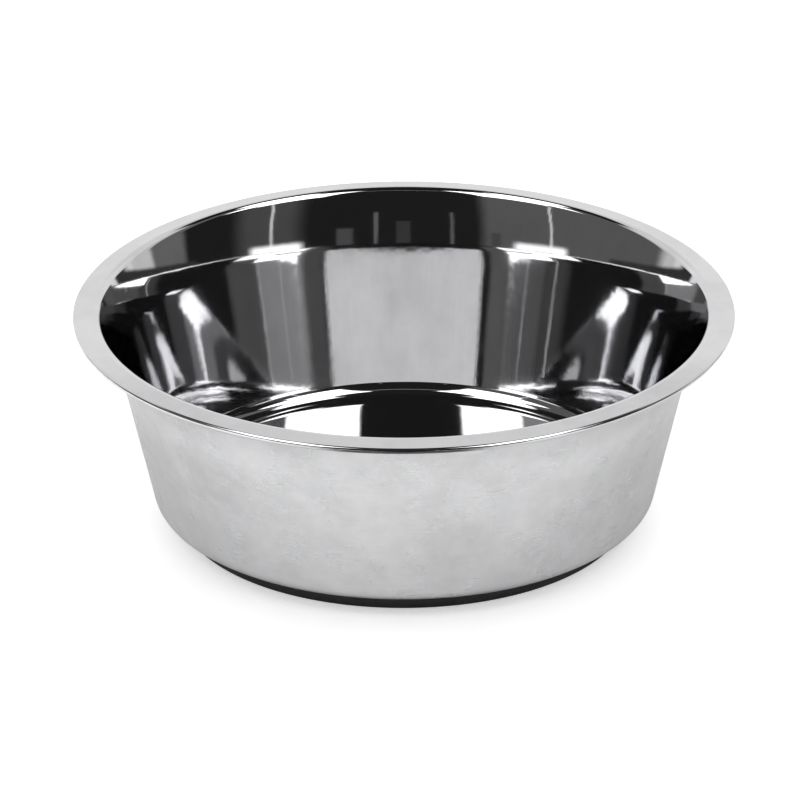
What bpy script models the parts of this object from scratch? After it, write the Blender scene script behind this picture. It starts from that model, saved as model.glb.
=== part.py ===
"""Pet food bowl: a deep-drawn steel bowl with a hemmed rim, standing on a bonded rubber ring.

Metres, +Z up. The origin is on the surface that the bowl stands on, on the bowl's axis.
A bowl's outline is drawn along the middle of its sheet, turned round the axis, and then
given the sheet's thickness.
"""

import math

import bpy
from mathutils import Vector

# Steel bowl: overall
RIM_DIAMETER = 0.240
BOWL_HEIGHT = 0.0754
SHEET = 0.0007

# Steel bowl: floor and wall
BASE_DIAMETER = 0.1800
BASE_BEND = 0.0063
MOUTH_LEAN = math.radians(30.0)
FLARE_DEPTH = 0.0108
FLARE_RUN = 0.0068

# Steel bowl: rim
FLANGE_WIDTH = 0.0074
FLANGE_DROOP = math.radians(8.0)
CREST_BEND = 0.0023
HEM_GAP = 0.0007
HEM_LEG = 0.0045

# Rubber ring
RING_HEIGHT = 0.0057
RING_WIDTH = 0.0110
RING_INSET = 0.0082
RING_EDGE_RADIUS = 0.0010
GLUE_GAP = 0.0003

# Mesh fineness
TURN_STEPS = 64
BEND_STEPS = 5
HEM_STEPS = 6
EDGE_STEPS = 3
MERGE_DISTANCE = 0.00001

RIM_RADIUS = RIM_DIAMETER / 2
BASE_RADIUS = BASE_DIAMETER / 2
STAND_HEIGHT = RING_HEIGHT + GLUE_GAP


def clear_scene():
    for old in list(bpy.data.objects):
        bpy.data.objects.remove(old, do_unlink=True)


def make_collection(name):
    collection = bpy.data.collections.new(name)
    bpy.context.scene.collection.children.link(collection)
    return collection


def make_material(name, colour, roughness, metallic):
    material = bpy.data.materials.new(name)
    material.use_nodes = True
    surface = material.node_tree.nodes["Principled BSDF"]
    surface.inputs["Base Color"].default_value = (*colour, 1.0)
    surface.inputs["Roughness"].default_value = roughness
    surface.inputs["Metallic"].default_value = metallic
    return material


def arc(centre, radius, start, end, steps):
    """Points on a round stretch of an outline, from one angle to another."""
    angles = [start + (end - start) * step / steps for step in range(steps + 1)]
    return [centre + radius * Vector((math.cos(angle), math.sin(angle))) for angle in angles]


def turn_between(before, corner, after):
    """Signed angle that an outline turns through at a corner, positive to its left."""
    inward = corner - before
    outward = after - corner
    return -inward.angle_signed(outward)


def bend(before, corner, after, run, steps):
    """A round bend at a corner that starts and ends the length run away from it."""
    turn = turn_between(before, corner, after)
    side = math.copysign(1.0, turn)
    radius = run / math.tan(abs(turn) / 2)
    heading = (corner - before).normalized()
    first = corner - heading * run
    centre = first + Vector((-heading.y, heading.x)) * side * radius
    start = math.atan2(first.y - centre.y, first.x - centre.x)
    return arc(centre, radius, start, start + turn, steps)


def rim_outline():
    """The middle of the sheet over the crest, down the flange and round the hem."""
    downhill = Vector((math.cos(FLANGE_DROOP), -math.sin(FLANGE_DROOP)))
    upright = math.pi / 2 - FLANGE_DROOP

    crest_radius = CREST_BEND + SHEET / 2
    crest_centre = Vector((RIM_RADIUS - FLANGE_WIDTH, BOWL_HEIGHT - CREST_BEND - SHEET))
    crest = arc(crest_centre, crest_radius, math.pi - MOUTH_LEAN, upright, BEND_STEPS)

    hem_radius = (HEM_GAP + SHEET) / 2
    hem_x = RIM_RADIUS - SHEET / 2 - hem_radius
    reach = hem_x - crest_centre.x
    rise = (crest_radius - hem_radius - reach * math.sin(FLANGE_DROOP)) / math.cos(FLANGE_DROOP)
    hem_centre = Vector((hem_x, crest_centre.y + rise))
    hem = arc(hem_centre, hem_radius, upright, upright - math.pi, HEM_STEPS)

    leg_end = hem[-1] - downhill * HEM_LEG
    return crest + hem + [leg_end]


def bowl_outline():
    """The middle of the sheet from the floor's centre to the end of the hem."""
    floor_z = SHEET / 2
    rim = rim_outline()
    mouth = rim[0]

    floor_centre = Vector((0.0, floor_z))
    base_corner = Vector((BASE_RADIUS, floor_z))
    flare_corner = mouth - FLARE_DEPTH * Vector((math.sin(MOUTH_LEAN), math.cos(MOUTH_LEAN)))

    base_turn = turn_between(floor_centre, base_corner, flare_corner)
    base_run = (BASE_BEND + SHEET / 2) * math.tan(base_turn / 2)
    base = bend(floor_centre, base_corner, flare_corner, base_run, BEND_STEPS)
    flare = bend(base_corner, flare_corner, mouth, FLARE_RUN, BEND_STEPS)
    return [floor_centre] + base + flare + rim


def ring_outline():
    """The rubber's section, from the top of its outer side down, under and up the inner side."""
    outer = BASE_RADIUS - RING_INSET
    inner = outer - RING_WIDTH
    edge = RING_EDGE_RADIUS
    top = [Vector((inner, RING_HEIGHT)), Vector((outer, RING_HEIGHT))]
    outer_edge = arc(Vector((outer - edge, edge)), edge, 0.0, -math.pi / 2, EDGE_STEPS)
    inner_edge = arc(Vector((inner + edge, edge)), edge, -math.pi / 2, -math.pi, EDGE_STEPS)
    return top + outer_edge + inner_edge


def add_turned(name, outline, closed, material, collection):
    """An object whose outline, in the XZ plane, is turned round the Z axis."""
    points = [(point.x, 0.0, point.y) for point in outline]
    edges = [(index, index + 1) for index in range(len(points) - 1)]
    if closed:
        edges.append((len(points) - 1, 0))
    mesh = bpy.data.meshes.new(name)
    mesh.from_pydata(points, edges, [])
    mesh.materials.append(material)
    turned = bpy.data.objects.new(name, mesh)
    collection.objects.link(turned)

    screw = turned.modifiers.new("Turn", "SCREW")
    screw.axis = "Z"
    screw.angle = math.tau
    screw.steps = TURN_STEPS
    screw.render_steps = TURN_STEPS
    screw.use_merge_vertices = True
    screw.merge_threshold = MERGE_DISTANCE
    screw.use_smooth_shade = True
    return turned


def add_sheet_thickness(turned):
    solidify = turned.modifiers.new("Sheet", "SOLIDIFY")
    solidify.thickness = SHEET
    solidify.offset = 0.0
    solidify.use_even_offset = True
    solidify.use_rim = True


def add_bowl_shell(material, collection):
    shell = add_turned("bowl_shell", bowl_outline(), False, material, collection)
    add_sheet_thickness(shell)
    shell.location.z = STAND_HEIGHT
    return shell


def add_nonslip_ring(material, collection):
    return add_turned("nonslip_ring", ring_outline(), True, material, collection)


def main():
    clear_scene()
    collection = make_collection("pet_food_bowl")
    steel = make_material("stainless_steel", (0.66, 0.66, 0.67), 0.15, 1.0)
    rubber = make_material("black_rubber", (0.022, 0.022, 0.023), 0.65, 0.0)

    stand_point = bpy.data.objects.new("stand_point", None)
    collection.objects.link(stand_point)
    for piece in (add_bowl_shell(steel, collection), add_nonslip_ring(rubber, collection)):
        piece.parent = stand_point


main()
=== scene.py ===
# %% [markdown]
# # A polished steel pet food bowl
# The real bowl is one disc of stainless steel, pressed into a cup. Its rim is turned out into a
# flange, and the flange's edge is folded under so that nothing sharp is left. A black rubber ring
# is glued under the base to stop it sliding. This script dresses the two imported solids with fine
# surfaces and with the mirror, satin and rubber finishes of the real thing.

# %% The frame
import math

import bpy
from mathutils import Matrix, Vector


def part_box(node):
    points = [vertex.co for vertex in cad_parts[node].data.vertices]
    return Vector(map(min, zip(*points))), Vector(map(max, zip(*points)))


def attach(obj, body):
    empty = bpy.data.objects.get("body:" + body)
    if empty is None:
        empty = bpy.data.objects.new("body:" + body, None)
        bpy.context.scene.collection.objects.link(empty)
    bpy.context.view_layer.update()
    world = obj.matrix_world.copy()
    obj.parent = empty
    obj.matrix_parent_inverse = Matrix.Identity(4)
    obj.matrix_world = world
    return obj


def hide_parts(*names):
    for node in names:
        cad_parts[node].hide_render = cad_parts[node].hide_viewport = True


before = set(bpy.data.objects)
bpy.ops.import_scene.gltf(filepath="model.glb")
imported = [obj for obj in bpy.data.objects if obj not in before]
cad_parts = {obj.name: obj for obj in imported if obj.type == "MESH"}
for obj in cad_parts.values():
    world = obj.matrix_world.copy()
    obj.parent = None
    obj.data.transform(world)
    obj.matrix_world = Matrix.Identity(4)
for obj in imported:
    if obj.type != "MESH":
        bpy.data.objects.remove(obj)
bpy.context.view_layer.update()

# %% [markdown]
# ## Camera
# The photograph is a product shot taken from far away with a long lens, so the near and the far
# side of the rim are drawn at almost the same scale. A camera 3 m away with a lens of about 370 mm
# gives that look. It is aimed by its height above the rim's plane, its pitch and a slight roll.

# %% Camera
CAMERA_DISTANCE = 3.0
CAMERA_RISE = math.radians(23.95)
CAMERA_PITCH = math.radians(24.54)
CAMERA_ROLL = -0.0041
CAMERA_SIDESTEP = -0.0015
CAMERA_LENS = 372.7
RIM_PLANE_HEIGHT = 0.0787


def add_camera():
    data = bpy.data.cameras.new("camera")
    data.lens = CAMERA_LENS
    data.sensor_width = 36.0
    data.clip_end = 50.0
    camera = bpy.data.objects.new("camera", data)
    bpy.context.scene.collection.objects.link(camera)
    back = CAMERA_DISTANCE * math.cos(CAMERA_RISE)
    up = CAMERA_DISTANCE * math.sin(CAMERA_RISE)
    place = Matrix.Translation((CAMERA_SIDESTEP, -back, RIM_PLANE_HEIGHT + up))
    tilt = Matrix.Rotation(math.pi / 2 - CAMERA_PITCH, 4, "X")
    roll = Matrix.Rotation(CAMERA_ROLL, 4, "Z")
    camera.matrix_world = place @ tilt @ roll
    bpy.context.scene.camera = camera
    return camera


add_camera()
bpy.context.scene.view_settings.view_transform = "Standard"

# %% [markdown]
# ## Helpers for node trees
# Shaders and geometry are both drawn as node trees here. Three small functions keep the recipes
# short: one places a node and fills in its inputs, one does arithmetic, and one opens a shader
# group with named inputs and outputs.


# %% Node helpers
def add_node(tree, kind, inputs=None, **settings):
    """A node of that kind, with its settings, and its inputs set to values or linked to sockets."""
    node = tree.nodes.new(kind)
    for name, value in settings.items():
        setattr(node, name, value)
    for key, value in (inputs or {}).items():
        if isinstance(value, bpy.types.NodeSocket):
            tree.links.new(value, node.inputs[key])
        else:
            node.inputs[key].default_value = value
    return node


def calculate(tree, operation, *values, clamp=False):
    """The output of a Math node."""
    inputs = dict(enumerate(values))
    return add_node(tree, "ShaderNodeMath", inputs, operation=operation, use_clamp=clamp).outputs[0]


def ramp(tree, value, start, end, low=0.0, high=1.0):
    """A value that eases from low to high while another goes from start to end."""
    inputs = {"Value": value, "From Min": start, "From Max": end, "To Min": low, "To Max": high}
    node = add_node(tree, "ShaderNodeMapRange", inputs, interpolation_type="SMOOTHSTEP")
    return node.outputs["Result"]


def open_shader_group(name, inputs, outputs):
    """A shader group, with the nodes that hold its inputs and its outputs."""
    group = bpy.data.node_groups.new(name, "ShaderNodeTree")
    for label, kind, value in inputs:
        socket = group.interface.new_socket(label, in_out="INPUT", socket_type=kind)
        if value is not None:
            socket.default_value = value
    for label, kind in outputs:
        group.interface.new_socket(label, in_out="OUTPUT", socket_type=kind)
    entry = group.nodes.new("NodeGroupInput")
    leave = group.nodes.new("NodeGroupOutput")
    return group, entry, leave


def use_group(tree, group, inputs):
    """A node that stands for a shader group."""
    return add_node(tree, "ShaderNodeGroup", inputs, node_tree=group)


# %% [markdown]
# ## The studio
# A mirror shows the room more than itself, so the studio is half of the bowl's looks. The photograph
# was lit by two tall soft boxes beside the camera, with a white sweep behind the bowl and a dark room
# behind the camera. Here the room is painted on the world by direction, panel by panel. The camera
# itself sees plain white in place of it.
#
# The real lamps stood close to the bowl. Light that has crossed the bowl leaves it from another
# place than light reflected only once, so it meets the same lamp in another direction. A painted
# world has no distances, so each panel says which reflections see it.


# %% One panel of the studio
def make_panel_group():
    """How far a direction lies inside a panel with soft edges, given as azimuth and elevation."""
    degrees = "NodeSocketFloat"
    inputs = [
        ("Azimuth", degrees, 0.0),
        ("Elevation", degrees, 0.0),
        ("From azimuth", degrees, 0.0),
        ("To azimuth", degrees, 90.0),
        ("From elevation", degrees, 0.0),
        ("To elevation", degrees, 90.0),
        ("Softness", degrees, 2.0),
    ]
    group, entry, leave = open_shader_group("studio_panel", inputs, [("Inside", "NodeSocketFloat")])
    get = entry.outputs
    mask = None
    for axis in ("azimuth", "elevation"):
        value = get[axis.capitalize()]
        past_start = calculate(group, "SUBTRACT", value, get["From " + axis])
        before_end = calculate(group, "SUBTRACT", get["To " + axis], value)
        nearest = calculate(group, "MINIMUM", past_start, before_end)
        share = calculate(group, "DIVIDE", nearest, get["Softness"])
        inside = ramp(group, share, -0.5, 0.5)
        mask = inside if mask is None else calculate(group, "MULTIPLY", mask, inside)
    group.links.new(mask, leave.inputs["Inside"])
    return group


panel_group = make_panel_group()

# %% The studio's panels
# Each panel: side, reflections that see it, azimuth range from the far side, elevation range,
# softness, level. Angles are in degrees. A panel covers the panels above it in the list. The
# reflections are a first and a last number, counted along a ray that starts at the camera.
LEFT = -1.0
RIGHT = 1.0
BOTH = 0.0
ANY_LATER = 9
FIRST = (0, 1)
FIRST_TWO = (0, 2)
SECOND = (2, 2)
CROSSED = (2, ANY_LATER)
DEEP = (3, ANY_LATER)
ALL = (0, ANY_LATER)
ROOM_LEVEL = 0.02
PANELS = {
    "sweep": (BOTH, FIRST, -10.0, 63.5, -90.0, 47.5, 5.0, 1.08),
    "low_sweep": (BOTH, FIRST, -10.0, 46.0, -90.0, 30.0, 8.0, 1.27),
    "crossed_sweep": (BOTH, CROSSED, -10.0, 63.5, -90.0, 44.0, 5.0, 1.34),
    "sweep_side": (BOTH, FIRST, 58.0, 71.0, -90.0, 46.0, 3.0, 0.86),
    "left_wall": (LEFT, ALL, 66.0, 148.0, -90.0, 60.0, 7.0, 0.15),
    "right_wall": (RIGHT, ALL, 70.0, 87.0, -90.0, 60.0, 4.0, 0.20),
    "right_glow": (RIGHT, ALL, 112.0, 138.0, 0.0, 60.0, 10.0, 0.10),
    "left_box_light": (LEFT, CROSSED, 82.0, 120.0, -10.0, 60.0, 7.0, 0.48),
    "right_box_light": (RIGHT, CROSSED, 82.0, 116.0, -10.0, 60.0, 4.0, 0.17),
    "left_stand": (LEFT, FIRST_TWO, 119.0, 120.2, 8.0, 36.0, 0.6, 0.9),
    "right_stand": (RIGHT, FIRST_TWO, 125.8, 127.0, 8.0, 36.0, 0.6, 0.9),
    "box_stands": (BOTH, SECOND, 100.5, 101.3, 20.0, 27.0, 0.6, 0.8),
    "near_boxes": (BOTH, FIRST, 92.0, 120.0, 46.0, 74.0, 3.0, 4.0),
    "near_fronts": (BOTH, FIRST, 116.0, 147.0, 38.0, 74.0, 3.0, 4.0),
    "near_tops": (BOTH, FIRST, 42.0, 95.0, 61.0, 74.0, 3.0, 4.0),
    "right_card": (RIGHT, FIRST, 117.5, 139.0, -4.0, 8.5, 4.0, 2.2),
    "left_card": (LEFT, FIRST, 113.0, 135.0, -4.0, 8.5, 4.0, 2.2),
    "low_sides": (BOTH, FIRST, 46.0, 92.0, -90.0, 7.0, 2.0, 0.05),
    "dark_case": (RIGHT, FIRST, 153.5, 160.0, 3.0, 16.0, 1.5, 0.11),
    "light_case": (LEFT, FIRST, 141.0, 145.0, 3.0, 14.0, 1.5, 0.10),
    "far_stand": (RIGHT, FIRST, 168.4, 169.8, 3.0, 26.0, 0.8, 0.20),
    "near_stand": (LEFT, FIRST, 160.0, 161.4, 3.0, 26.0, 0.8, 0.16),
    "tripod": (BOTH, FIRST, 177.2, 180.5, 3.0, 20.0, 1.0, 0.06),
    "crossed_boxes": (BOTH, SECOND, 86.0, 123.0, 25.8, 44.0, 1.0, 4.4),
    "crossed_fronts": (BOTH, SECOND, 112.5, 147.5, 42.0, 56.0, 3.0, 4.0),
    "right_crossed_front": (RIGHT, SECOND, 144.0, 155.0, 42.0, 56.0, 3.0, 4.0),
    "crossed_tops": (BOTH, SECOND, 88.0, 124.0, 49.5, 62.0, 3.0, 4.0),
    "deep_boxes": (BOTH, DEEP, 100.0, 126.0, 30.0, 52.0, 2.0, 4.4),
    "deep_fronts": (BOTH, DEEP, 135.0, 152.0, 38.0, 50.0, 2.0, 4.4),
    "deep_tops": (BOTH, DEEP, 60.0, 180.0, 64.0, 95.0, 2.0, 4.4),
    "ceiling_rail": (BOTH, FIRST, 90.0, 190.0, 66.0, 67.2, 0.8, 0.9),
}


def paint_world():
    world = bpy.data.worlds.new("studio")
    bpy.context.scene.world = world
    world.use_nodes = True
    tree = world.node_tree
    tree.nodes.clear()

    direction = add_node(tree, "ShaderNodeTexCoord").outputs["Generated"]
    parts = add_node(tree, "ShaderNodeSeparateXYZ", {0: direction})
    turn = calculate(tree, "ARCTAN2", parts.outputs["X"], parts.outputs["Y"])
    signed_azimuth = calculate(tree, "DEGREES", turn)
    azimuth = calculate(tree, "ABSOLUTE", signed_azimuth)
    rise = calculate(tree, "ARCSINE", parts.outputs["Z"])
    elevation = calculate(tree, "DEGREES", rise)

    # The depth of a ray that reaches the world is one more than its number of reflections.
    path = add_node(tree, "ShaderNodeLightPath").outputs
    bounces = calculate(tree, "SUBTRACT", path["Ray Depth"], 1.0)
    level = ROOM_LEVEL
    for side, (first, last), start, end, low, high, softness, strength in PANELS.values():
        seen = azimuth if side == BOTH else calculate(tree, "MULTIPLY", signed_azimuth, side)
        inputs = {
            "Azimuth": seen,
            "Elevation": elevation,
            "From azimuth": start,
            "To azimuth": end,
            "From elevation": low,
            "To elevation": high,
            "Softness": softness,
        }
        inside = use_group(tree, panel_group, inputs).outputs["Inside"]
        if first > 0:
            late = calculate(tree, "GREATER_THAN", bounces, first - 0.5)
            inside = calculate(tree, "MULTIPLY", inside, late)
        if last < ANY_LATER:
            early = calculate(tree, "LESS_THAN", bounces, last + 0.5)
            inside = calculate(tree, "MULTIPLY", inside, early)
        difference = calculate(tree, "SUBTRACT", strength, level)
        level = calculate(tree, "MULTIPLY_ADD", inside, difference, level)

    white_step = calculate(tree, "SUBTRACT", 1.0, level)
    shown = calculate(tree, "MULTIPLY_ADD", path["Is Camera Ray"], white_step, level)
    background = add_node(tree, "ShaderNodeBackground", {"Strength": shown})
    add_node(tree, "ShaderNodeOutputWorld", {"Surface": background.outputs[0]})
    print("studio panels:", ", ".join(PANELS))


paint_world()

# %% [markdown]
# ## The floor
# The floor is a white sweep that keeps the bowl's soft shadow. A little of its light is its own,
# which lifts the open floor to white for the camera. In reflections it glows less near the bowl,
# where the shadow lies, and more on the left, where the stronger lamp stood, and it ends a short way
# in front of the bowl. Seen from below it is clear, so that the rubber ring can be looked at.

# %% Floor
FLOOR_HALF_WIDTH = 4.0
FLOOR_DROP = 0.0002
FLOOR_COLOUR = (0.88, 0.88, 0.88)
FLOOR_GLOW = 0.52
MIRRORED_GLOW = 0.46
SHADOW_GLOW = 0.06
SHADOW_START = 0.06
SHADOW_REACH = 0.26
GLOW_PER_METRE = -1.1
BRIGHTEST_GLOW = 1.4
FRONT_EDGE = 0.21
FRONT_HALF_WIDTH = 0.13
FRONT_FADE = 0.05


def add_floor():
    material = bpy.data.materials.new("white_sweep")
    material.use_nodes = True
    tree = material.node_tree
    tree.nodes.clear()
    path = add_node(tree, "ShaderNodeLightPath")
    point = add_node(tree, "ShaderNodeTexCoord").outputs["Object"]
    parts = add_node(tree, "ShaderNodeSeparateXYZ", {0: point})
    distance = add_node(tree, "ShaderNodeVectorMath", {0: point}, operation="LENGTH").outputs["Value"]
    past_edge = ramp(tree, parts.outputs["Y"], -FRONT_EDGE - FRONT_FADE, -FRONT_EDGE, 1.0, 0.0)
    aside = calculate(tree, "ABSOLUTE", parts.outputs["X"])
    in_front = ramp(tree, aside, FRONT_HALF_WIDTH, FRONT_HALF_WIDTH + FRONT_FADE, 1.0, 0.0)
    hidden_front = calculate(tree, "MULTIPLY", past_edge, in_front)
    hidden_front = calculate(tree, "MULTIPLY", hidden_front, path.outputs["Is Glossy Ray"])
    kept = calculate(tree, "SUBTRACT", 1.0, hidden_front)
    mirrored = ramp(tree, distance, SHADOW_START, SHADOW_REACH, SHADOW_GLOW, MIRRORED_GLOW)
    slant = calculate(tree, "MULTIPLY_ADD", parts.outputs["X"], GLOW_PER_METRE, 1.0)
    slant = calculate(tree, "MINIMUM", calculate(tree, "MAXIMUM", slant, 0.0), BRIGHTEST_GLOW)
    mirrored = calculate(tree, "MULTIPLY", mirrored, slant)
    mirrored = calculate(tree, "MULTIPLY", mirrored, kept)
    mirrored = calculate(tree, "MULTIPLY", mirrored, path.outputs["Is Glossy Ray"])
    shade = add_node(
        tree, "ShaderNodeVectorMath", {0: FLOOR_COLOUR, "Scale": kept}, operation="SCALE"
    )
    glow = calculate(tree, "MULTIPLY_ADD", path.outputs["Is Camera Ray"], FLOOR_GLOW, mirrored)
    paint = add_node(
        tree,
        "ShaderNodeBsdfPrincipled",
        {
            "Base Color": shade.outputs[0],
            "Roughness": 1.0,
            "Specular IOR Level": 0.0,
            "Emission Color": (1.0, 1.0, 1.0, 1.0),
            "Emission Strength": glow,
        },
    )
    clear = add_node(tree, "ShaderNodeBsdfTransparent")
    below = add_node(tree, "ShaderNodeNewGeometry").outputs["Backfacing"]
    hidden = calculate(tree, "MULTIPLY", below, path.outputs["Is Camera Ray"])
    mix = add_node(tree, "ShaderNodeMixShader", {0: hidden, 1: paint.outputs[0], 2: clear.outputs[0]})
    add_node(tree, "ShaderNodeOutputMaterial", {"Surface": mix.outputs[0]})

    half = FLOOR_HALF_WIDTH
    corners = [(-half, -half), (half, -half), (half, half), (-half, half)]
    mesh = bpy.data.meshes.new("floor")
    mesh.from_pydata([(x, y, -FLOOR_DROP) for x, y in corners], [], [(0, 1, 2, 3)])
    mesh.materials.append(material)
    floor = bpy.data.objects.new("floor", mesh)
    bpy.context.scene.collection.objects.link(floor)


add_floor()

# %% [markdown]
# ## Steel finishes
# Both finishes are the same metal. The inside and the top of the rim are buffed to a mirror, which
# still shows faint lines drawn up the wall by the press. The outside was only brushed round, so it
# blurs the room into a soft grey. The press leaves shallow dents in both. Under the front of the
# rim's folded edge the steel is darkened by painted shade: the fold's own shade and, straight in
# front, a painted dark reflection. Two effects are shared as groups: a point of the wall unrolled to
# a flat sheet, on which lines run up or round, and the cloudy marks that handling and washing leave.


# %% Shared effects
WALL_RADIUS = 0.1
CLOUD_FADE = 0.3


def make_wall_direction_group():
    """A point of a turned piece as turn and height: X is the distance round, Z the height."""
    inputs = [("Point", "NodeSocketVector", None), ("Radius", "NodeSocketFloat", WALL_RADIUS)]
    group, entry, leave = open_shader_group("round_the_wall", inputs, [("Unrolled", "NodeSocketVector")])
    parts = add_node(group, "ShaderNodeSeparateXYZ", {0: entry.outputs["Point"]})
    turn = calculate(group, "ARCTAN2", parts.outputs["X"], parts.outputs["Y"])
    round_way = calculate(group, "MULTIPLY", turn, entry.outputs["Radius"])
    unrolled = add_node(group, "ShaderNodeCombineXYZ", {"X": round_way, "Z": parts.outputs["Z"]})
    group.links.new(unrolled.outputs[0], leave.inputs["Unrolled"])
    return group


wall_group = make_wall_direction_group()


def make_handling_group():
    """Cloudy smudges, as a mask from 0, clean, to 1."""
    inputs = [
        ("Point", "NodeSocketVector", None),
        ("Size", "NodeSocketFloat", 0.02),
        ("Cover", "NodeSocketFloat", 0.5),
    ]
    group, entry, leave = open_shader_group("handling_marks", inputs, [("Mask", "NodeSocketFloat")])
    scale = calculate(group, "DIVIDE", 1.0, entry.outputs["Size"])
    cloud = add_node(
        group,
        "ShaderNodeTexNoise",
        {"Vector": entry.outputs["Point"], "Scale": scale, "Detail": 4.0, "Roughness": 0.6},
    )
    edge = calculate(group, "SUBTRACT", 1.0, entry.outputs["Cover"])
    upper = calculate(group, "ADD", edge, CLOUD_FADE)
    mask = ramp(group, cloud.outputs["Fac"], edge, upper)
    group.links.new(mask, leave.inputs["Mask"])
    return group


handling_group = make_handling_group()

# %% Mirror and satin steel
STEEL_COLOUR = (0.69, 0.69, 0.70)
# Painted shade under the front of the rim's folded edge: where it starts, how it fades and how dark it
# is.
HEM_SHADE_FROM = 0.1145
HEM_SHADE_TOP = 0.0798
HEM_SHADE_FADE = 0.0005
HEM_SHADE_TOP_FADE = 0.0004
HEM_SHADE_DEPTH = 0.85
HEM_SHADE_SIDE_DEPTH = 0.1
HEM_SHADE_HALF_WIDTH = 0.018
HEM_SHADE_SIDE_FADE = 0.016
DENT_SCALE = 260.0
DENT_HEIGHT = 0.000008
BLOTCH_SCALE = 110.0
LINE_SHARE = 0.4
MEAN_NOISE = 0.5


def add_painted_hem_shade(tree, point):
    """A mask of painted shade under the front of the rim's folded edge, darkest straight in front."""
    parts = add_node(tree, "ShaderNodeSeparateXYZ", {0: point})
    flat = add_node(tree, "ShaderNodeCombineXYZ", {"X": parts.outputs["X"], "Y": parts.outputs["Y"]})
    radius = add_node(tree, "ShaderNodeVectorMath", {0: flat.outputs[0]}, operation="LENGTH")
    outside = ramp(tree, radius.outputs["Value"], HEM_SHADE_FROM - HEM_SHADE_FADE, HEM_SHADE_FROM)
    under = ramp(tree, parts.outputs["Z"], HEM_SHADE_TOP - HEM_SHADE_TOP_FADE, HEM_SHADE_TOP, 1.0, 0.0)
    aside = calculate(tree, "ABSOLUTE", parts.outputs["X"])
    fade_end = HEM_SHADE_HALF_WIDTH + HEM_SHADE_SIDE_FADE
    near = ramp(tree, aside, HEM_SHADE_HALF_WIDTH, fade_end, HEM_SHADE_DEPTH, HEM_SHADE_SIDE_DEPTH)
    front = calculate(tree, "LESS_THAN", parts.outputs["Y"], 0.0)
    both = calculate(tree, "MULTIPLY", outside, under)
    both = calculate(tree, "MULTIPLY", both, front)
    return calculate(tree, "MULTIPLY", both, near)


def make_steel(
    name, roughness, spread, line_scale, line_height, smudge_size, cover, shade, edge, mottle
):
    """Steel whose colour, roughness and surface vary.

    Lines of line_height lie at line_scale round and up the wall. Smudges of smudge_size reach over
    the share cover of the surface, scale its colour by shade and add spread to its roughness. The
    colour at a grazing angle is scaled by edge, and soft blotches vary it by mottle.
    """
    material = bpy.data.materials.new(name)
    material.use_nodes = True
    tree = material.node_tree
    surface = tree.nodes["Principled BSDF"]
    point = add_node(tree, "ShaderNodeTexCoord").outputs["Object"]
    unrolled = use_group(tree, wall_group, {"Point": point, "Radius": WALL_RADIUS}).outputs["Unrolled"]
    stretched = add_node(
        tree, "ShaderNodeVectorMath", {0: unrolled, 1: line_scale}, operation="MULTIPLY"
    )
    lines = add_node(
        tree,
        "ShaderNodeTexNoise",
        {"Vector": stretched.outputs[0], "Scale": 1.0, "Detail": 3.0, "Roughness": 0.6},
    )
    smudges = use_group(
        tree, handling_group, {"Point": point, "Size": smudge_size, "Cover": cover}
    ).outputs["Mask"]
    dents = add_node(
        tree, "ShaderNodeTexNoise", {"Vector": unrolled, "Scale": DENT_SCALE, "Detail": 1.0}
    )
    dented = add_node(
        tree,
        "ShaderNodeBump",
        {"Strength": 1.0, "Distance": DENT_HEIGHT, "Height": dents.outputs["Fac"]},
    )
    bump = add_node(
        tree,
        "ShaderNodeBump",
        {
            "Strength": 1.0,
            "Distance": line_height,
            "Height": lines.outputs["Fac"],
            "Normal": dented.outputs["Normal"],
        },
    )
    line_share = calculate(tree, "MULTIPLY", lines.outputs["Fac"], spread)
    rough = calculate(tree, "MULTIPLY_ADD", smudges, spread, roughness)
    rough = calculate(tree, "ADD", rough, line_share)
    tint = add_node(
        tree,
        "ShaderNodeMix",
        {
            "Factor": smudges,
            "A": (*STEEL_COLOUR, 1.0),
            "B": (*[shade * value for value in STEEL_COLOUR], 1.0),
        },
        data_type="RGBA",
    )
    # Painted shade and a painted dark reflection under the front of the folded edge darken the colour
    # here.
    painted_hem_shade = add_painted_hem_shade(tree, point)
    tone_scale = calculate(tree, "SUBTRACT", 1.0, painted_hem_shade)
    blotches = add_node(
        tree,
        "ShaderNodeTexNoise",
        {"Vector": point, "Scale": BLOTCH_SCALE, "Detail": 4.0, "Roughness": 0.6},
    )
    noise = blotches.outputs["Fac"]
    uneven = calculate(tree, "MULTIPLY_ADD", lines.outputs["Fac"], LINE_SHARE, noise)
    uneven = calculate(tree, "SUBTRACT", uneven, MEAN_NOISE * (1 + LINE_SHARE))
    uneven = calculate(tree, "MULTIPLY_ADD", uneven, mottle, 1.0)
    tone_scale = calculate(tree, "MULTIPLY", tone_scale, uneven)
    colour = add_node(
        tree,
        "ShaderNodeVectorMath",
        {0: tint.outputs["Result"], "Scale": tone_scale},
        operation="SCALE",
    )
    tree.links.new(colour.outputs[0], surface.inputs["Base Color"])
    tree.links.new(rough, surface.inputs["Roughness"])
    tree.links.new(bump.outputs["Normal"], surface.inputs["Normal"])
    surface.inputs["Metallic"].default_value = 1.0
    surface.inputs["Specular Tint"].default_value = (edge, edge, edge, 1.0)
    return material


mirror_steel = make_steel(
    "mirror_steel",
    roughness=0.03,
    spread=0.02,
    line_scale=(900.0, 900.0, 25.0),
    line_height=0.000003,
    smudge_size=0.03,
    cover=0.6,
    shade=0.93,
    edge=0.9,
    mottle=0.12,
)
satin_steel = make_steel(
    "satin_steel",
    roughness=0.22,
    spread=0.06,
    line_scale=(60.0, 60.0, 1200.0),
    line_height=0.00001,
    smudge_size=0.035,
    cover=0.6,
    shade=0.92,
    edge=0.85,
    mottle=0.3,
)

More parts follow.
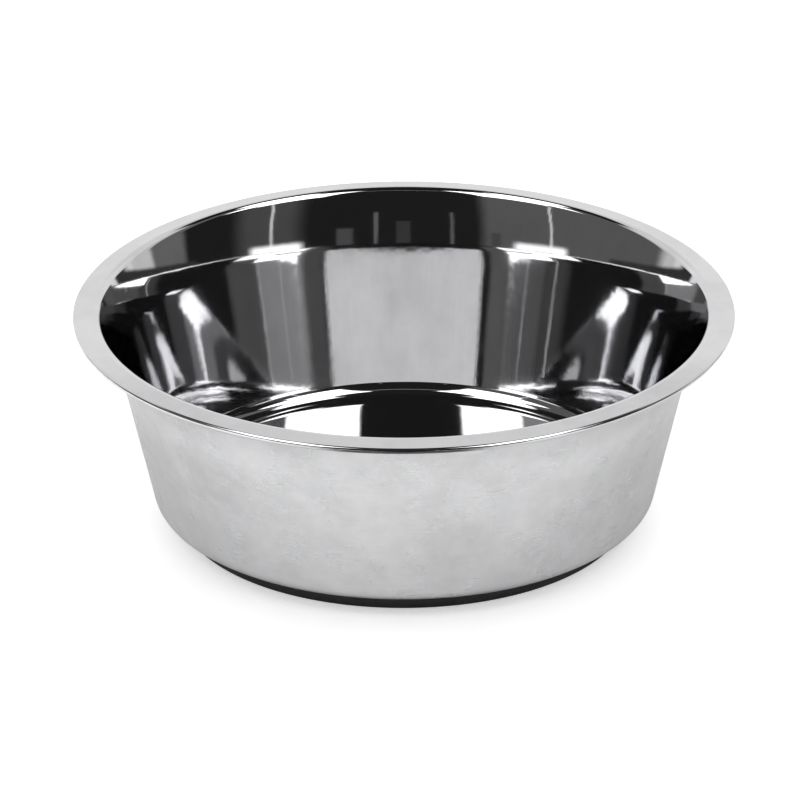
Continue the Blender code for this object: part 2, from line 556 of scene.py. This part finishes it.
# %% [markdown]
# ## Rubber
# The ring is moulded black rubber. It is matt, with a fine grain from the mould, and a little paler
# where dust clings to it.


# %% Rubber
RUBBER_CLEAN = (0.018, 0.018, 0.019, 1.0)
RUBBER_DUSTY = (0.032, 0.032, 0.031, 1.0)
RUBBER_ROUGHNESS = 0.55
DUST_ROUGHNESS = 0.15
GRAIN_SCALE = 3500.0
GRAIN_HEIGHT = 0.00003


def make_rubber():
    material = bpy.data.materials.new("black_rubber")
    material.use_nodes = True
    tree = material.node_tree
    surface = tree.nodes["Principled BSDF"]
    point = add_node(tree, "ShaderNodeTexCoord").outputs["Object"]
    dust = use_group(tree, handling_group, {"Point": point, "Size": 0.012, "Cover": 0.55})
    tint = add_node(
        tree,
        "ShaderNodeMix",
        {"Factor": dust.outputs["Mask"], "A": RUBBER_CLEAN, "B": RUBBER_DUSTY},
        data_type="RGBA",
    )
    grain = add_node(tree, "ShaderNodeTexNoise", {"Vector": point, "Scale": GRAIN_SCALE, "Detail": 2.0})
    bump = add_node(
        tree,
        "ShaderNodeBump",
        {"Strength": 1.0, "Distance": GRAIN_HEIGHT, "Height": grain.outputs["Fac"]},
    )
    rough = calculate(tree, "MULTIPLY_ADD", dust.outputs["Mask"], DUST_ROUGHNESS, RUBBER_ROUGHNESS)
    tree.links.new(tint.outputs["Result"], surface.inputs["Base Color"])
    tree.links.new(rough, surface.inputs["Roughness"])
    tree.links.new(bump.outputs["Normal"], surface.inputs["Normal"])
    return material


rubber = make_rubber()

# %% [markdown]
# ## The pressed outline
# A pressed bowl is round, so its whole shape is one outline. It is drawn along the middle of the
# sheet, from the floor's centre to the inner end of the hem. Bends are true arcs, because a mirror
# shows every flat. Points crowd towards the ends of the straight runs, which keeps the shading of
# each straight run as straight as the metal.

# %% Sizes of the pressing
SHEET = 0.0007
BASE_RADIUS = 0.0900
BASE_BEND = 0.0063
MOUTH_LEAN = math.radians(30.0)
FLARE_DEPTH = 0.0108
FLARE_RUN = 0.0095
FLANGE_WIDTH = 0.0074
FLANGE_DROOP = math.radians(8.0)
CREST_BEND = 0.0023
HEM_GAP = 0.0007
HEM_LEG = 0.0045
BEND_STEPS = 16
FLARE_STEPS = 24
WALL_STEPS = 22
RIM_STEPS = 8
LEG_STEPS = 4

shell_low, shell_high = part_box("bowl_shell")
RIM_RADIUS = (shell_high[0] - shell_low[0]) / 2
STEEL_UNDERSIDE = shell_low[2]
CREST_TOP = shell_high[2]


# %% Arcs, bends and straight runs
def arc(centre, radius, start, end, steps):
    """Points on a round stretch of an outline, from one angle to another."""
    angles = [start + (end - start) * step / steps for step in range(steps + 1)]
    return [centre + radius * Vector((math.cos(angle), math.sin(angle))) for angle in angles]


def straight(start, end, steps):
    """Points strictly between two others, closer together towards both ends."""
    shares = [(1 - math.cos(math.pi * step / steps)) / 2 for step in range(1, steps)]
    return [start.lerp(end, share) for share in shares]


def turn_between(before, corner, after):
    """Signed angle that an outline turns through at a corner, positive to its left."""
    return -(corner - before).angle_signed(after - corner)


def bend(before, corner, after, run, steps):
    """A round bend at a corner that starts and ends the length run away from it."""
    turn = turn_between(before, corner, after)
    side = math.copysign(1.0, turn)
    radius = run / math.tan(abs(turn) / 2)
    heading = (corner - before).normalized()
    first = corner - heading * run
    centre = first + Vector((-heading.y, heading.x)) * side * radius
    start = math.atan2(first.y - centre.y, first.x - centre.x)
    return arc(centre, radius, start, start + turn, steps)


# %% The bowl's outline
def bowl_outline():
    """The middle of the sheet from the floor's centre to the end of the hem."""
    downhill = Vector((math.cos(FLANGE_DROOP), -math.sin(FLANGE_DROOP)))
    upright = math.pi / 2 - FLANGE_DROOP

    crest_radius = CREST_BEND + SHEET / 2
    crest_centre = Vector((RIM_RADIUS - FLANGE_WIDTH, CREST_TOP - CREST_BEND - SHEET))
    crest = arc(crest_centre, crest_radius, math.pi - MOUTH_LEAN, upright, BEND_STEPS)

    hem_radius = (HEM_GAP + SHEET) / 2
    hem_x = RIM_RADIUS - SHEET / 2 - hem_radius
    reach = hem_x - crest_centre.x
    rise = (crest_radius - hem_radius - reach * math.sin(FLANGE_DROOP)) / math.cos(FLANGE_DROOP)
    hem_centre = Vector((hem_x, crest_centre.y + rise))
    hem = arc(hem_centre, hem_radius, upright, upright - math.pi, BEND_STEPS)
    leg_end = hem[-1] - downhill * HEM_LEG

    floor_centre = Vector((0.0, STEEL_UNDERSIDE + SHEET / 2))
    base_corner = Vector((BASE_RADIUS, floor_centre.y))
    mouth = crest[0]
    flare_corner = mouth - FLARE_DEPTH * Vector((math.sin(MOUTH_LEAN), math.cos(MOUTH_LEAN)))
    base_turn = turn_between(floor_centre, base_corner, flare_corner)
    base_run = (BASE_BEND + SHEET / 2) * math.tan(base_turn / 2)
    base = bend(floor_centre, base_corner, flare_corner, base_run, BEND_STEPS)
    flare = bend(base_corner, flare_corner, mouth, FLARE_RUN, FLARE_STEPS)

    outline = [floor_centre] + straight(floor_centre, base[0], WALL_STEPS) + base
    outline += straight(base[-1], flare[0], WALL_STEPS) + flare
    outline += straight(flare[-1], mouth, RIM_STEPS) + crest
    outline += straight(crest[-1], hem[0], RIM_STEPS) + hem
    outline += straight(hem[-1], leg_end, LEG_STEPS) + [leg_end]
    return outline


# %% [markdown]
# ## Turning an outline
# A geometry tree turns any outline into a surface. It lays out a flat grid with one column for each
# step round and one row for each point of the outline, then moves every grid point to its row's
# place on the outline, swung round the Z axis by its column's angle. Merging close points welds the
# seam and the pole. The whole surface takes the first finish. The far finish is only listed, for a
# sheet whose other side has it. The same tree makes the bowl and the ring.


# %% The turning tree
WELD_DISTANCE = 0.000005


def make_turning_tree():
    tree = bpy.data.node_groups.new("turn_outline", "GeometryNodeTree")
    tree.interface.new_socket("Outline", in_out="INPUT", socket_type="NodeSocketGeometry")
    steps = tree.interface.new_socket("Steps round", in_out="INPUT", socket_type="NodeSocketInt")
    steps.default_value = 64
    tree.interface.new_socket("Finish", in_out="INPUT", socket_type="NodeSocketMaterial")
    tree.interface.new_socket("Far finish", in_out="INPUT", socket_type="NodeSocketMaterial")
    tree.interface.new_socket("Surface", in_out="OUTPUT", socket_type="NodeSocketGeometry")
    entry = tree.nodes.new("NodeGroupInput").outputs
    leave = tree.nodes.new("NodeGroupOutput")

    size = add_node(tree, "GeometryNodeAttributeDomainSize", {"Geometry": entry["Outline"]})
    rows = size.outputs["Point Count"]
    columns = calculate(tree, "ADD", entry["Steps round"], 1)
    grid = add_node(
        tree,
        "GeometryNodeMeshGrid",
        {"Size X": 1.0, "Size Y": 1.0, "Vertices X": columns, "Vertices Y": rows},
    )
    place = tree.nodes.new("GeometryNodeInputPosition").outputs[0]
    parts = add_node(tree, "ShaderNodeSeparateXYZ", {0: place})
    column_share = calculate(tree, "ADD", parts.outputs["X"], 0.5)
    angle = calculate(tree, "MULTIPLY", column_share, math.tau)
    row_share = calculate(tree, "ADD", parts.outputs["Y"], 0.5)
    last_row = calculate(tree, "SUBTRACT", rows, 1)
    row = calculate(tree, "ROUND", calculate(tree, "MULTIPLY", row_share, last_row))
    sample = add_node(
        tree,
        "GeometryNodeSampleIndex",
        {"Geometry": entry["Outline"], "Value": place, "Index": row},
        data_type="FLOAT_VECTOR",
    )
    swung = add_node(
        tree,
        "ShaderNodeVectorRotate",
        {"Vector": sample.outputs["Value"], "Angle": angle},
        rotation_type="Z_AXIS",
    )
    moved = add_node(
        tree, "GeometryNodeSetPosition", {"Geometry": grid.outputs["Mesh"], "Position": swung.outputs[0]}
    )
    welded = add_node(
        tree, "GeometryNodeMergeByDistance", {"Geometry": moved.outputs[0], "Distance": WELD_DISTANCE}
    )
    smooth = add_node(tree, "GeometryNodeSetShadeSmooth", {"Geometry": welded.outputs[0]})
    real = add_node(tree, "GeometryNodeRealizeInstances", {"Geometry": smooth.outputs[0]})
    finished = add_node(
        tree,
        "GeometryNodeSetMaterial",
        {"Geometry": real.outputs[0], "Material": entry["Finish"]},
    )
    both_listed = add_node(
        tree,
        "GeometryNodeSetMaterial",
        {"Geometry": finished.outputs[0], "Selection": False, "Material": entry["Far finish"]},
    )
    tree.links.new(both_listed.outputs[0], leave.inputs["Surface"])
    return tree


turning_tree = make_turning_tree()


# %% Turning an outline into a piece
def start_turned(name, outline, steps, materials):
    """An object whose mesh is the outline, with the turning tree on it."""
    mesh = bpy.data.meshes.new(name)
    edges = [(index, index + 1) for index in range(len(outline) - 1)]
    mesh.from_pydata([(point.x, 0.0, point.y) for point in outline], edges, [])
    # The tree's grid starts with a slot of its own, so the finishes are slots 1 and 2.
    for material in (None, *materials):
        mesh.materials.append(material)
    turned = bpy.data.objects.new(name, mesh)
    bpy.context.scene.collection.objects.link(turned)
    modifier = turned.modifiers.new("Turn", "NODES")
    modifier.node_group = turning_tree
    sockets = {item.name: item.identifier for item in turning_tree.interface.items_tree}
    modifier[sockets["Steps round"]] = steps
    modifier[sockets["Finish"]] = materials[0]
    modifier[sockets["Far finish"]] = materials[-1]
    return turned


def freeze(shaped, name):
    """A plain mesh object in place of one with modifiers."""
    depsgraph = bpy.context.evaluated_depsgraph_get()
    mesh = bpy.data.meshes.new_from_object(shaped.evaluated_get(depsgraph), depsgraph=depsgraph)
    mesh.name = name
    piece = bpy.data.objects.new(name, mesh)
    bpy.context.scene.collection.objects.link(piece)
    bpy.data.objects.remove(shaped, do_unlink=True)
    print(name, "has", len(mesh.polygons), "faces and", len(mesh.materials), "finishes")
    return piece


# %% [markdown]
# ## The bowl
# Solidify gives the turned surface the sheet's thickness, half on each side. Its near side is the
# outside and the underside, which take the satin. Its far side takes the second finish, so the
# mirror runs from the floor up the wall and over the rim to the hem.

# %% The bowl
BOWL_STEPS = 240


def make_bowl():
    shaped = start_turned("bowl_outline", bowl_outline(), BOWL_STEPS, [satin_steel, mirror_steel])
    solidify = shaped.modifiers.new("Sheet", "SOLIDIFY")
    solidify.thickness = SHEET
    solidify.offset = 0.0
    solidify.use_even_offset = True
    solidify.material_offset = 1
    solidify.material_offset_rim = 1
    return freeze(shaped, "pressed_bowl")


pressed_bowl = make_bowl()
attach(pressed_bowl, "root")
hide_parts("bowl_shell")

# %% [markdown]
# ## The rubber ring
# The ring's outline is closed: down its outer side, under it and up the inner side. Its lower edges
# are rounded, as a moulded part's are.

# %% The ring
RING_WIDTH = 0.0110
RING_EDGE_RADIUS = 0.0010
RING_STEPS = 192
RING_EDGE_STEPS = 8
RING_SIDE_STEPS = 6


def ring_outline():
    """The rubber's section, from its inner top edge outward, down, under and up again."""
    low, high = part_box("nonslip_ring")
    outer = (high[0] - low[0]) / 2
    inner = outer - RING_WIDTH
    edge = RING_EDGE_RADIUS
    top_inner = Vector((inner, high[2]))
    top_outer = Vector((outer, high[2]))
    outer_centre = Vector((outer - edge, low[2] + edge))
    inner_centre = Vector((inner + edge, low[2] + edge))
    outer_edge = arc(outer_centre, edge, 0.0, -math.pi / 2, RING_EDGE_STEPS)
    inner_edge = arc(inner_centre, edge, -math.pi / 2, -math.pi, RING_EDGE_STEPS)
    outline = [top_inner] + straight(top_inner, top_outer, RING_SIDE_STEPS) + [top_outer]
    outline += straight(top_outer, outer_edge[0], RING_SIDE_STEPS) + outer_edge
    outline += straight(outer_edge[-1], inner_edge[0], RING_SIDE_STEPS) + inner_edge
    outline += straight(inner_edge[-1], top_inner, RING_SIDE_STEPS) + [top_inner]
    return outline


shaped_ring = start_turned("ring_outline", ring_outline(), RING_STEPS, [rubber])
rubber_ring = freeze(shaped_ring, "rubber_ring")
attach(rubber_ring, "root")
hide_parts("nonslip_ring")
